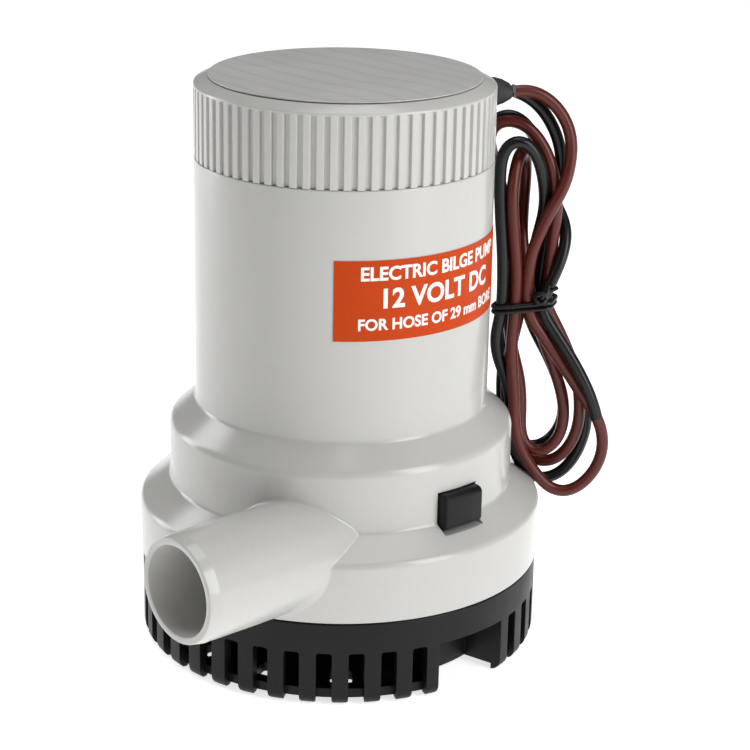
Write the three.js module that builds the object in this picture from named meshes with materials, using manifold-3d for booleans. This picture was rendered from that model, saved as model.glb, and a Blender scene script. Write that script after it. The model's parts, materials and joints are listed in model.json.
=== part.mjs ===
// Submersible bilge pump, 12 V, with a 29 mm hose outlet.
//
// Millimetres, +Z up. The origin is the centre of the strainer's underside, on the floor.
// The outlet points along -Y, the two release buttons sit on +X and -X, and the
// supply wires leave the cap at the back right and hang beside the body as a tied hank.

import * as THREE from 'three';
import { mergeVertices } from 'three/addons/utils/BufferGeometryUtils.js';
import Module from 'manifold-3d';

// ---------------------------------------------------------------- driving dimensions

const GAP = 0.3;                  // clearance left between pieces that touch
const SLIVER = 0.01;              // edges shorter than this are tidied away after cutting

const STRAINER = {
  radius: 55.7, wall: 3.0, top: 24.0, slotTop: 15.5, slotAngle: 4.4, pitch: 9,
  archHalf: 12, floorLow: 1.6, floorHigh: 4.2, floorRadius: 53.4, padRadius: 9,
  screwCircle: 30, screwHole: 2.6, screwPad: 6.5,
};
const SNAP_ARM = { inner: 40.5, outer: 42.0, half: 9, top: 55.0 };
const POCKET = { depth: 44, low: 1.7, wallTop: 20.0, cheek: 0.9 };   // finger pocket below each button

const SKIRT_LOW = 24.3;           // underside of the white housing
const HOUSING = {
  skirtFoot: 55.9, skirt: 56.2, shoulderTwoEdge: 54.7, wall: 47.8, shoulderOneEdge: 46.6, tube: 40.6,
  skirtTop: 38.8, edgeTwo: 41.7, footTwo: 46.5, wallTop: 61.3, edgeOne: 63.9, footOne: 69.2,
  top: 137.2, bore: 37.7, shell: 2.8,
};
const VOLUTE = { low: 27.3, high: 52.6, startRadius: 29.5, startAngle: -58, wall: 40.1 };
const MOTOR_FLOOR = 56.0;
const OUTLET = { x: 26.2, z: 39.9, mouth: -77.6, radius: 14.6, rim: 14.0, bore: 12.1, chamfer: 3.1 };
const BUTTON = { low: 44.4, high: 56.4, halfWidth: 6.6, face: 51.4, flangeHalf: 8.2 };
const COVER = { low: 24.6, high: 27.0, radius: 39.8, eye: 15, earCircle: 42.8, ear: 3.6 };
const COVER_SCREW_ANGLES = [62, 128, 232];

const CAP = { radius: 40.56, low: 137.5, ribLow: 138.4, ribTop: 157.0, top: 158.7, edge: 36.9,
  ribs: 72, ribDepth: 0.75, inner: 36.4, roof: 155.6, spigot: 35.7, spigotLow: 131.0 };
const DISC = { radius: 36.7, low: 159.0, high: 159.3 };
const LABEL = { low: 97.3, high: 118.9, half: 44.5, inner: 40.9, outer: 41.1 };

const MOTOR = { radius: 33, inner: 31.4, low: 58.8, high: 126.0, floor: 61.0 };
const END_BELL = { low: 126.3, high: 129.3 };
const MAGNET = { inner: 25.2, outer: 31.1, low: 66, high: 112, half: 62 };
const ARMATURE = { radius: 24.4, low: 69, high: 109, slots: 10, slotFloor: 11.5 };
const COMMUTATOR = { radius: 8.6, low: 117.2, high: 124.2, bars: 10 };
const SHAFT = { radius: 3, low: 31.6, high: 131.6 };
const IMPELLER = { radius: 26, low: 30.2, high: 50.6, hub: 6.2, shroud: 2.0, vanes: 6, vane: 1.9 };

const WIRE = 3.4;                 // outside diameter of each supply wire
const GLAND = { angle: 65, height: 152.5, base: 4.1, tip: 3.7, start: 40.9, end: 47.2 };
const HANK = { angle: 48.8, near: 6.2, far: 21.2 };      // the hank's plane, from the axis
const TIE = { height: 92.5, band: 3.4, thick: 1.3 };

// ---------------------------------------------------------------- solids and booleans

const wasm = await Module();
wasm.setup();

const radians = (degrees) => (degrees * Math.PI) / 180;

function toSolid(geometry) {
  const bare = geometry.clone();
  bare.deleteAttribute('normal');
  bare.deleteAttribute('uv');
  const merged = mergeVertices(bare, 1e-4);
  const index = merged.index.array;
  const corners = [];
  for (let i = 0; i < index.length; i += 3) {
    const [a, b, c] = [index[i], index[i + 1], index[i + 2]];
    if (a !== b && b !== c && a !== c) corners.push(a, b, c);
  }
  const points = new Float32Array(merged.attributes.position.array);
  if (signedVolume(points, corners) < 0) {
    for (let i = 0; i < corners.length; i += 3) {
      [corners[i], corners[i + 1]] = [corners[i + 1], corners[i]];
    }
  }
  const triVerts = new Uint32Array(corners);
  return new wasm.Manifold(new wasm.Mesh({ numProp: 3, vertProperties: points, triVerts }));
}

function signedVolume(points, corners) {
  const at = (i) => new THREE.Vector3(points[3 * i], points[3 * i + 1], points[3 * i + 2]);
  let sum = 0;
  for (let i = 0; i < corners.length; i += 3) {
    sum += at(corners[i]).dot(at(corners[i + 1]).cross(at(corners[i + 2])));
  }
  return sum / 6;
}

function toGeometry(solid) {
  const mesh = solid.simplify(SLIVER).getMesh();
  const geometry = new THREE.BufferGeometry();
  geometry.setAttribute('position', new THREE.BufferAttribute(mesh.vertProperties, 3));
  geometry.setIndex(new THREE.BufferAttribute(mesh.triVerts, 1));
  return geometry;
}

const union = (first, ...rest) => rest.reduce((sum, next) => sum.add(next), first);
const cut = (first, ...tools) => tools.reduce((left, tool) => left.subtract(tool), first);

// A turned shape about Z from [radius, height] pairs; the outline closes on itself.
function turned(outline, segments = 64) {
  const points = outline.map(([r, z]) => new THREE.Vector2(r, z));
  points.push(points[0].clone());
  return toSolid(new THREE.LatheGeometry(points, segments).rotateX(Math.PI / 2));
}

const disc = (radius, low, high, segments = 48) =>
  turned([[0, low], [radius, low], [radius, high], [0, high]], segments);
const ring = (inner, outer, low, high, segments = 48) =>
  turned([[inner, low], [outer, low], [outer, high], [inner, high]], segments);

function raised(shape, low, high, curveSegments = 12) {
  const options = { depth: high - low, bevelEnabled: false, curveSegments };
  return toSolid(new THREE.ExtrudeGeometry(shape, options).translate(0, 0, low));
}

function box(sizes, centre) {
  return toSolid(new THREE.BoxGeometry(...sizes).translate(...centre));
}

function post(radius, low, high, x, y, segments = 20) {
  const geometry = new THREE.CylinderGeometry(radius, radius, high - low, segments);
  return toSolid(geometry.rotateX(Math.PI / 2).translate(x, y, (low + high) / 2));
}

// A round-ended slice of a ring, centred on an angle about Z.
function sector(inner, outer, low, high, angle, half, curveSegments = 8) {
  const shape = new THREE.Shape();
  shape.absarc(0, 0, outer, radians(angle - half), radians(angle + half), false);
  shape.absarc(0, 0, inner, radians(angle + half), radians(angle - half), true);
  shape.closePath();
  return raised(shape, low, high, curveSegments);
}

// A rod along a smooth curve through the points.
function rod(points, radius, steps, sides = 8) {
  const section = new THREE.Shape();
  for (let i = 0; i < sides; i++) {
    const turn = (2 * Math.PI * i) / sides;
    const corner = [radius * Math.cos(turn), radius * Math.sin(turn)];
    if (i === 0) section.moveTo(...corner);
    else section.lineTo(...corner);
  }
  section.closePath();
  const path = new THREE.CatmullRomCurve3(points, false, 'centripetal');
  return toSolid(new THREE.ExtrudeGeometry(section, { extrudePath: path, steps }));
}

const turnedBy = (solid, degrees) => solid.rotate([0, 0, degrees]);

// ---------------------------------------------------------------- the group

const pump = new THREE.Group();

function addPiece(name, solid, colour, roughness = 0.5, metalness = 0) {
  const material = new THREE.MeshStandardMaterial({ color: colour, roughness, metalness });
  const mesh = new THREE.Mesh(toGeometry(solid), material);
  mesh.name = name;
  pump.add(mesh);
}

const WHITE = 0xdcdad6;
const BLACK = 0x262729;
const STEEL = 0xb4b6b9;
const ZINC = 0x8f9498;
const COPPER = 0xb87333;
const BRASS = 0xc2a14d;
const RUBBER = 0x1b1b1c;
const BROWN_WIRE = 0x6a2a22;
const BLACK_WIRE = 0x1c1c1d;

// ---------------------------------------------------------------- strainer base

function strainerSlots() {
  const slots = [];
  const { pitch, archHalf, slotAngle, slotTop, floorRadius, radius, wall } = STRAINER;
  for (let angle = 0; angle < 360; angle += pitch) {
    const fromArch = Math.min(angle % 180, 180 - (angle % 180));
    if (fromArch < archHalf) continue;
    const width = 2 * radius * Math.sin(radians(slotAngle / 2));
    const length = radius + 2 - (floorRadius - 1.2);
    const slot = box([length, width, slotTop + 1], [radius + 2 - length / 2, 0, (slotTop - 1) / 2]);
    slots.push(turnedBy(slot, angle));
  }
  for (const side of [0, 180]) {
    slots.push(sector(radius - wall - 1, radius + 2, -1, slotTop, side, archHalf, 4));
  }
  return slots;
}

function screwPads(radius, low, high) {
  return [30, 150, 270].map((angle) => {
    const x = STRAINER.screwCircle * Math.cos(radians(angle));
    const y = STRAINER.screwCircle * Math.sin(radians(angle));
    return post(radius, low, high, x, y, 16);
  });
}

function snapArms() {
  const { inner, outer, half, top } = SNAP_ARM;
  const { depth, low, wallTop, cheek } = POCKET;
  const { radius, wall, archHalf, slotTop } = STRAINER;
  return [0, 180].flatMap((side) => [
    sector(inner, outer, low, top, side, half, 3),
    sector(outer - 0.5, depth, low, wallTop, side, archHalf, 4),
    sector(outer, radius - wall + 0.5, low, slotTop, side + archHalf + cheek, cheek, 2),
    sector(outer, radius - wall + 0.5, low, slotTop, side - archHalf - cheek, cheek, 2),
  ]);
}

function strainerBase() {
  const { radius, wall, top, floorLow, floorHigh, padRadius } = STRAINER;
  const lowEdge = 1.8;                // the slanted foot of each bar, seen from the side
  const shell = turned([
    [radius - wall, 0], [radius - lowEdge, 0], [radius - 0.4, lowEdge], [radius, 4.4], [radius, top],
    [radius - wall, top],
  ], 40);
  const floor = disc(radius - wall + 0.5, floorLow, floorHigh, 40);
  const foot = disc(padRadius, 0, floorHigh, 20);
  const open = cut(shell, ...strainerSlots());
  const plate = union(floor, foot, ...screwPads(STRAINER.screwPad, 0, floorHigh));
  const vents = [];
  for (const angle of [40, 65, 90, 115, 140, 220, 245, 270, 295, 320]) {
    vents.push(turnedBy(box([7, 6, 8], [46, 0, 2.9]), angle));
  }
  const pockets = [0, 180].map((side) =>
    sector(POCKET.depth - 0.5, radius, floorLow - 1, floorHigh + 1, side, STRAINER.archHalf, 4));
  const body = union(open, cut(plate, ...vents, ...pockets), ...snapArms());
  return cut(body, ...screwPads(STRAINER.screwHole, -1, floorHigh + 1));
}

addPiece('strainer_base', strainerBase(), BLACK, 0.45);

// ---------------------------------------------------------------- housing

function voluteSpace() {
  const { low, high, startRadius, startAngle } = VOLUTE;
  const endRadius = OUTLET.x + OUTLET.bore + 0.4;
  const steps = 28;
  const shape = new THREE.Shape();
  for (let i = 0; i <= steps; i++) {
    const share = i / steps;
    const angle = radians(startAngle - (360 + startAngle) * share);
    const radius = startRadius + (endRadius - startRadius) * share;
    const point = [radius * Math.cos(angle), radius * Math.sin(angle)];
    if (i === 0) shape.moveTo(...point);
    else shape.lineTo(...point);
  }
  shape.lineTo(endRadius, -22);
  shape.lineTo(OUTLET.x - OUTLET.bore + 3, -25);
  shape.closePath();
  return raised(shape, low - 0.9, high);
}

function alongOutlet(outline, segments = 28) {
  return turned(outline, segments).rotate([90, 0, 0]).translate([OUTLET.x, 0, OUTLET.z]);
}

function outletTube() {
  const { mouth, radius, rim, chamfer } = OUTLET;
  return alongOutlet([[0, 20], [radius, 20], [radius, -mouth - chamfer], [rim, -mouth], [0, -mouth]]);
}

function outletBore() {
  return alongOutlet([[0, 5], [OUTLET.bore, 5], [OUTLET.bore, 90], [0, 90]]);
}

function windowFor(button) {
  const height = BUTTON.high - BUTTON.low + 2 * GAP;
  const middle = (BUTTON.high + BUTTON.low) / 2;
  const window = box([12, 2 * (BUTTON.halfWidth + GAP), height], [47.5, 0, middle]);
  const recess = sector(43, 45.9, BUTTON.low - 1.6, BUTTON.high + 1.6, 0, 12, 3);
  return turnedBy(window.add(recess), button);
}

function housing() {
  const H = HOUSING;
  const outside = turned([
    [0, SKIRT_LOW], [H.skirtFoot, SKIRT_LOW], [H.skirt, H.skirtTop], [H.shoulderTwoEdge, H.edgeTwo],
    [H.wall, H.footTwo], [H.wall, H.wallTop], [H.shoulderOneEdge, H.edgeOne], [H.tube, H.footOne],
    [H.tube, H.top], [0, H.top],
  ], 56);
  const groove = turned([
    [VOLUTE.wall, SKIRT_LOW - 1], [H.skirt - H.shell, SKIRT_LOW - 1], [H.skirt - H.shell, H.skirtTop - 1.4],
    [H.wall - H.shell, H.footTwo - 3], [H.wall - H.shell, 58.4], [VOLUTE.wall, 58.4],
  ], 56);
  const bosses = COVER_SCREW_ANGLES.map((angle) => {
    const x = COVER.earCircle * Math.cos(radians(angle));
    const y = COVER.earCircle * Math.sin(radians(angle));
    return post(COVER.ear, COVER.high + GAP, 59, x, y, 12);
  });
  const screwHoles = COVER_SCREW_ANGLES.map((angle) => {
    const x = COVER.earCircle * Math.cos(radians(angle));
    const y = COVER.earCircle * Math.sin(radians(angle));
    return post(1.8, COVER.high - 1, 42, x, y, 8);
  });
  const shell = union(cut(outside, groove), ...bosses);
  const coverSeat = disc(VOLUTE.wall + 1, SKIRT_LOW - 1, COVER.high + GAP, 40);
  const space = voluteSpace();
  const motorSpace = disc(H.bore, MOTOR_FLOOR, H.top + 1, 56);
  const sealSeat = disc(8.2, VOLUTE.high - 1, 59.0, 20);
  const tower = ring(7, 11, MOTOR_FLOOR - 1, 60.5, 20);
  const shaftHole = disc(4.2, 50, 62, 16);
  const body = cut(shell.add(outletTube()), coverSeat, space, motorSpace, outletBore());
  const finished = cut(body.add(tower), sealSeat, shaftHole);
  return cut(finished, ...screwHoles, windowFor(0), windowFor(180));
}

addPiece('housing', housing(), WHITE, 0.42);

// ---------------------------------------------------------------- release buttons

function releaseButton(side) {
  const { low, high, halfWidth, face, flangeHalf } = BUTTON;
  const outline = new THREE.Shape();
  const round = 1.6;
  outline.moveTo(44.6, low);
  outline.lineTo(face - 2.4, low);
  outline.lineTo(face, low + 1.4);
  outline.lineTo(face, high - round);
  outline.quadraticCurveTo(face, high, face - round, high);
  outline.lineTo(44.6, high);
  outline.closePath();
  const options = { depth: 2 * halfWidth, bevelEnabled: false, curveSegments: 4 };
  const bar = new THREE.ExtrudeGeometry(outline, options).rotateX(Math.PI / 2).translate(0, halfWidth, 0);
  const halfAngle = (Math.asin(flangeHalf / 45) * 180) / Math.PI;
  const flange = sector(44.35, 45.5, low - 1.1, high + 1.1, 0, halfAngle, 6);
  const trimmed = cut(toSolid(bar), disc(44.35, low - 2, high + 2, 64));
  return turnedBy(trimmed.add(flange), side);
}

addPiece('release_button_right', releaseButton(0), BLACK, 0.4);
addPiece('release_button_left', releaseButton(180), BLACK, 0.4);

// ---------------------------------------------------------------- volute cover and its screws

function voluteCover() {
  const { low, high, radius, eye, earCircle, ear } = COVER;
  const plate = disc(radius, low, high, 40);
  const collar = ring(eye, eye + 2, low - 3, low + 0.5, 28);
  const places = COVER_SCREW_ANGLES.map((angle) =>
    [earCircle * Math.cos(radians(angle)), earCircle * Math.sin(radians(angle))]);
  const ears = places.map(([x, y]) => post(ear, low, high, x, y, 12));
  const holes = places.map(([x, y]) => post(1.8, low - 1, high + 1, x, y, 8));
  const opened = cut(union(plate, collar, ...ears), disc(eye, low - 5, high + 1, 28));
  return cut(opened, ...holes);
}

addPiece('volute_cover', voluteCover(), BLACK, 0.5);

COVER_SCREW_ANGLES.forEach((angle, index) => {
  const x = COVER.earCircle * Math.cos(radians(angle));
  const y = COVER.earCircle * Math.sin(radians(angle));
  const head = post(3.0, COVER.low - GAP - 1.8, COVER.low - GAP, x, y, 12);
  const shank = post(1.4, COVER.low - GAP - 0.5, 38, x, y, 8);
  const recess = box([3.4, 0.8, 1.2], [x, y, COVER.low - GAP - 1.9]);
  const cross = box([0.8, 3.4, 1.2], [x, y, COVER.low - GAP - 1.9]);
  addPiece(`cover_screw_${index + 1}`, cut(head.add(shank), recess, cross), STEEL, 0.3, 1);
});

// ---------------------------------------------------------------- cap, its ring, disc and label

function topCap() {
  const C = CAP;
  const outside = turned([
    [C.spigot, C.spigotLow], [C.spigot, C.low], [C.radius, C.low], [C.radius, C.ribTop],
    [C.edge, C.top], [0, C.top], [0, C.roof], [C.inner - 3, C.roof], [C.inner - 3, C.spigotLow],
  ], 36);
  const grooves = [];
  const step = 360 / C.ribs;
  for (let i = 0; i < C.ribs; i++) {
    const bar = box([C.ribDepth * 2, 1.15, C.ribTop - C.ribLow], [C.radius, 0, (C.ribTop + C.ribLow) / 2]);
    grooves.push(turnedBy(bar, step * (i + 0.5)));
  }
  const seat = box([10, 7.4, 7.4], [GLAND.start - 3, 0, GLAND.height]).rotate([0, 0, GLAND.angle]);
  return cut(outside, ...grooves, seat);
}

addPiece('top_cap', topCap(), WHITE, 0.42);

function torus(radius, thickness, height) {
  const geometry = new THREE.TorusGeometry(radius, thickness, 6, 28);
  return toSolid(geometry.translate(0, 0, height));
}

addPiece('cap_o_ring', torus(36.7, 0.72, 134.2), RUBBER, 0.8);
addPiece('cap_disc', disc(DISC.radius, DISC.low, DISC.high, 36), 0xb9bcc0, 0.5);
addPiece('rating_label',
  sector(LABEL.inner, LABEL.outer, LABEL.low, LABEL.high, 0, LABEL.half, 12), 0xdb4c1c, 0.4);

// ---------------------------------------------------------------- places in the wires' frame

// out: away from the body, across the hank's plane; back: square to it; up: height.
function wirePlace(out, back, up) {
  const across = radians(HANK.angle);
  const x = out * Math.cos(across) - back * Math.sin(across);
  const y = out * Math.sin(across) + back * Math.cos(across);
  return new THREE.Vector3(x, y, up);
}

// ---------------------------------------------------------------- cable gland

function cableGland() {
  const { base, tip, start, end, angle, height } = GLAND;
  const boot = turned([[0, 0], [base, 0], [base, 0.8], [tip, end - start - 1.0],
    [tip - 0.4, end - start], [0, end - start]], 20);
  const stem = disc(2.9, -6.5, 0.5, 20);
  const placed = boot.add(stem).rotate([0, 90, 0]).translate([start, 0, height]);
  return turnedBy(placed, angle);
}

addPiece('cable_gland', cableGland(), RUBBER, 0.7);

// ---------------------------------------------------------------- supply wires outside the cap

const BROWN_LEAD = [
  [46.1, 11.5, 152.6], [49.6, 12.2, 153.2], [53.6, 12.5, 151.8], [57.8, 12.5, 148.6], [61.0, 12.4, 143.8],
  [62.6, 12.2, 138.2], [62.1, 12.0, 132.2], [60.6, 11.6, 125.4], [58.0, 11.0, 119.6], [55.0, 10.4, 114.0],
];
const BLACK_LEAD = [
  [45.4, 15.1, 152.3], [48.6, 15.9, 151.4], [52.2, 16.4, 149.0], [55.4, 16.4, 145.2], [57.8, 16.2, 140.4],
  [58.8, 16.0, 135.0], [58.4, 15.8, 129.4], [57.0, 15.5, 124.0], [55.2, 15.2, 119.0],
];

// The hank's outline in its own plane, [out, up], round at both ends and narrow at the tie.
const HANK_OUTLINE = [
  [49, 147.5], [54.0, 144], [56.2, 135], [55.9, 122], [56.4, 108], [58.5, 95], [64.5, 82], [73.5, 67], [78.8, 51],
  [75.5, 36.5], [67.0, 30.4], [59.4, 34.5], [55.8, 44], [51.6, 55], [49.2, 66], [45.7, 76], [43.0, 92],
  [42.2, 110], [42.0, 128], [43.0, 142],
];

function hankSolid(grow) {
  const knots = HANK_OUTLINE.map(([out, up]) => new THREE.Vector3(out, up, 0));
  const curve = new THREE.CatmullRomCurve3(knots, true, 'centripetal');
  const points = curve.getPoints(44).slice(0, -1);
  const shape = new THREE.Shape();
  points.forEach((point, index) => {
    const before = points[(index + points.length - 1) % points.length];
    const after = points[(index + 1) % points.length];
    const along = after.clone().sub(before).normalize();
    const place = [point.x - along.y * grow, point.y + along.x * grow];
    if (index === 0) shape.moveTo(...place);
    else shape.lineTo(...place);
  });
  shape.closePath();
  const { near, far, angle } = HANK;
  const options = { depth: far - near + 2 * grow, bevelEnabled: false };
  const slab = new THREE.ExtrudeGeometry(shape, options).rotateX(Math.PI / 2);
  slab.translate(0, far + grow, 0);
  return turnedBy(toSolid(slab), angle);
}

function lead(points) {
  const path = points.map(([out, back, up]) => wirePlace(out, back, up));
  return cut(rod(path, WIRE / 2, 14), hankSolid(0.5));
}

addPiece('wire_brown_lead', lead(BROWN_LEAD), BROWN_WIRE, 0.35);
addPiece('wire_black_lead', lead(BLACK_LEAD), BLACK_WIRE, 0.35);

function tieBand(grow, low, high) {
  const { near, far, angle } = HANK;
  const slab = box([15.8 + 2 * grow, far - near + 2 * grow, high - low],
    [50.9, (near + far) / 2, (low + high) / 2]);
  return turnedBy(slab, angle);
}

function hankTie() {
  const low = TIE.height - TIE.band / 2;
  const high = TIE.height + TIE.band / 2;
  return cut(tieBand(TIE.thick + GAP, low, high), tieBand(GAP, low - 1, high + 1));
}

function hank() {
  const low = TIE.height - TIE.band / 2 - GAP;
  const high = TIE.height + TIE.band / 2 + GAP;
  const waist = cut(tieBand(20, low, high), tieBand(0, low - 1, high + 1));
  return cut(hankSolid(0), waist);
}

addPiece('wire_hank', hank(), BLACK_WIRE, 0.4);
addPiece('hank_tie', hankTie(), RUBBER, 0.5);

// ---------------------------------------------------------------- motor shell

addPiece('motor_seat', ring(14, 36.8, MOTOR_FLOOR + GAP, MOTOR.low - GAP, 28), RUBBER, 0.85);

function motorCan() {
  const { radius, inner, low, high, floor } = MOTOR;
  return turned([
    [11.6, low], [radius - 2, low], [radius, low + 2], [radius, high], [inner, high], [inner, floor],
    [8.2, floor], [8.2, 66.6], [6.6, 66.6], [6.6, floor - 0.2], [11.6, floor - 0.2],
  ], 32);
}

addPiece('motor_can', motorCan(), ZINC, 0.4, 0.9);

function motorEndBell() {
  const { low, high } = END_BELL;
  const plate = disc(MOTOR.radius, low, high, 32);
  const spigot = ring(28.5, MOTOR.inner - GAP, low - 1.8, low + 0.5, 32);
  const hub = disc(8, low - 0.5, high + 3.2, 20);
  const slots = [90, 270].map((angle) => turnedBy(box([3.0, 7.0, 10], [21, 0, low]), angle));
  return cut(union(plate, spigot, hub), disc(5.3, low - 4, high + 5, 16), ...slots);
}

addPiece('motor_end_bell', motorEndBell(), BLACK, 0.5);

for (const [name, angle] of [['magnet_north', 0], ['magnet_south', 180]]) {
  addPiece(name, sector(MAGNET.inner, MAGNET.outer, MAGNET.low, MAGNET.high, angle, MAGNET.half, 8),
    0x3a3b3d, 0.7, 0.3);
}

for (const [name, angle] of [['magnet_clip_front', 270], ['magnet_clip_back', 90]]) {
  addPiece(name, sector(29.4, 30.9, MAGNET.low + 2, MAGNET.high - 2, angle, 24, 3), STEEL, 0.35, 1);
}

function bush(low, high) {
  return ring(SHAFT.radius + 0.06, low < 100 ? 6.3 : 5.0, low, high, 16);
}

addPiece('bearing_lower', bush(61.4, 66.4), BRASS, 0.4, 0.9);
addPiece('bearing_upper', bush(126.5, 131.2), BRASS, 0.4, 0.9);
addPiece('thrust_washer_lower', ring(3.5, 6.0, 66.8, 67.4, 16), 0xe6e2d2, 0.6);
addPiece('thrust_washer_upper', ring(3.5, 6.0, 124.9, 125.5, 16), 0xe6e2d2, 0.6);

// ---------------------------------------------------------------- brush gear

function brushCard() {
  const card = ring(13.6, 30.6, 114.6, 116.2, 28);
  const feet = [45, 135, 225, 315].map((angle) => turnedBy(box([3, 4, 7.6], [29.0, 0, 119.4]), angle));
  return union(card, ...feet);
}

addPiece('brush_card', brushCard(), 0x6b4a2c, 0.7);

for (const [name, angle] of [['front', 270], ['back', 90]]) {
  const block = box([3.4, 4.6, 5.0], [COMMUTATOR.radius + 0.12 + 1.7, 0, 120.7]);
  const round = disc(COMMUTATOR.radius + 0.1, 116, 126, 20);
  addPiece(`carbon_brush_${name}`, turnedBy(cut(block, round), angle), 0x2d2d2f, 0.8);
  const leaf = box([0.5, 4.0, 4.2], [12.5 + 0.25, 0, 120.7]);
  const foot = box([10.2, 4.0, 0.6], [17.6, 0, 118.9]);
  const stub = box([0.8, 4.0, 3.4], [22.3, 0, 117.9]);
  addPiece(`brush_arm_${name}`, turnedBy(union(leaf, foot, stub), angle), COPPER, 0.35, 1);
  const blade = box([0.8, 4.8, 14.0], [21.2, 0, 128.4]);
  const link = box([1.6, 3.0, 0.8], [21.2, 0, 121.8]);
  addPiece(`terminal_${name}`, turnedBy(blade.add(link), angle), BRASS, 0.35, 1);
}

// ---------------------------------------------------------------- suppression parts and inner wires

for (const [name, side] of [['front', -1], ['back', 1]]) {
  const core = post(2.4, 136.5, 150.5, 15, 12 * side, 14);
  addPiece(`choke_${name}`, core, COPPER, 0.4, 0.8);
}

function capacitor() {
  const geometry = new THREE.CylinderGeometry(5.2, 5.2, 2.6, 16);
  return toSolid(geometry.rotateZ(Math.PI / 2).translate(-14, 0, 141));
}

addPiece('suppression_capacitor', capacitor(), 0xb7792e, 0.5);

function innerWire(front) {
  const side = front ? -1 : 1;
  const inner = radians(GLAND.angle);
  const start = new THREE.Vector3(33.9 * Math.cos(inner), 33.9 * Math.sin(inner), GLAND.height);
  const shift = front ? -2.0 : 2.0;
  start.add(new THREE.Vector3(-Math.sin(inner), Math.cos(inner), 0).multiplyScalar(shift));
  const bend = new THREE.Vector3(9 - shift, 20 + 3 * side, 151);
  const down = new THREE.Vector3(-2, 21.2 * side, 143);
  const end = new THREE.Vector3(0, 21.2 * side, 136.2);
  return rod([start, bend, down, end], 1.3, 12);
}

addPiece('inner_wire_brown', innerWire(false), BROWN_WIRE, 0.4);
addPiece('inner_wire_black', innerWire(true), BLACK_WIRE, 0.4);

// ---------------------------------------------------------------- shaft seal

function shaftSeal() {
  return turned([[3.35, 54.0], [4.6, 53.1], [7.8, 53.1], [7.8, 58.6], [3.9, 58.6], [3.35, 56.8]], 18);
}

addPiece('shaft_seal', shaftSeal(), RUBBER, 0.7);
addPiece('seal_retainer', ring(4.4, 8.0, 52.0, 52.8, 18), STEEL, 0.35, 1);

// ---------------------------------------------------------------- rotor

function motorShaft() {
  const { radius, low, high } = SHAFT;
  return turned([[0, low], [radius - 0.5, low], [radius, low + 0.5], [radius, high - 0.5],
    [radius - 0.5, high], [0, high]], 16);
}

addPiece('motor_shaft', motorShaft(), STEEL, 0.25, 1);

function armatureCore() {
  const { radius, low, high, slots, slotFloor } = ARMATURE;
  const stack = ring(SHAFT.radius + GAP, radius, low, high, 30);
  const cuts = [];
  for (let i = 0; i < slots; i++) {
    const channel = box([radius - slotFloor - 3, 5.4, 60], [(radius + slotFloor - 3) / 2, 0, 90]);
    const mouth = box([8, 1.8, 60], [radius, 0, 90]);
    cuts.push(turnedBy(channel.add(mouth), (360 / slots) * (i + 0.5)));
  }
  return cut(stack, ...cuts);
}

addPiece('armature_core', armatureCore(), ZINC, 0.5, 0.8);

function armatureWindings() {
  const { radius, low, high, slots, slotFloor } = ARMATURE;
  const pieces = [
    ring(6.5, radius - 2.2, high + GAP, high + 4.6, 20), ring(6.5, radius - 2.2, low - 1.2, low - GAP, 20),
  ];
  for (let i = 0; i < slots; i++) {
    const coil = box([radius - slotFloor - 4.6, 4.6, high - low + 4], [(radius + slotFloor - 3.4) / 2, 0, 89]);
    pieces.push(turnedBy(coil, (360 / slots) * (i + 0.5)));
  }
  return union(...pieces);
}

addPiece('armature_windings', armatureWindings(), 0xa5521f, 0.35, 0.7);

function commutator() {
  const { radius, low, high, bars } = COMMUTATOR;
  const body = ring(SHAFT.radius + GAP, radius, low, high, 20);
  const riser = ring(radius - 1, radius + 2.2, low, low + 1.0, 20);
  const gaps = [];
  for (let i = 0; i < bars; i++) {
    gaps.push(turnedBy(box([4, 0.6, 20], [radius + 1.2, 0, 121]), (360 / bars) * i));
  }
  return cut(body.add(riser), ...gaps);
}

addPiece('commutator', commutator(), COPPER, 0.3, 1);

function impeller() {
  const { radius, low, high, hub, shroud, vanes, vane } = IMPELLER;
  const pieces = [disc(radius, high - shroud, high, 32), disc(hub, low + 3, high, 16)];
  for (let i = 0; i < vanes; i++) {
    const shape = new THREE.Shape();
    const inner = [];
    const outer = [];
    const steps = 5;
    for (let k = 0; k <= steps; k++) {
      const reach = hub - 1 + ((radius - hub + 0.8) * k) / steps;
      const sweep = radians(62 * (k / steps));
      const half = vane / 2 / reach;
      inner.push([reach * Math.cos(sweep - half), reach * Math.sin(sweep - half)]);
      outer.unshift([reach * Math.cos(sweep + half), reach * Math.sin(sweep + half)]);
    }
    [...inner, ...outer].forEach((point, index) => {
      if (index === 0) shape.moveTo(...point);
      else shape.lineTo(...point);
    });
    shape.closePath();
    pieces.push(turnedBy(raised(shape, low, high - shroud + 0.5), (360 / vanes) * i));
  }
  return cut(union(...pieces), disc(SHAFT.radius + GAP, low, high + 1, 16));
}

addPiece('impeller', impeller(), 0x2f3134, 0.5);
addPiece('impeller_clip', ring(3.3, 5.0, 32.2, 32.9, 16), STEEL, 0.35, 1);

export default pump;
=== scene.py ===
# The looks of a submersible bilge pump: moulded housing, ribbed cap, slotted strainer,
# release buttons and two supply wires tied up in a hank beside the body.
#
# Sizes are written in millimetres and turned into metres by MM. The pump stands on z = 0, with its
# outlet along -Y and its release buttons on +X and -X.

import json
import math

import bmesh
import bpy
from mathutils import Matrix, Vector


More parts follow.
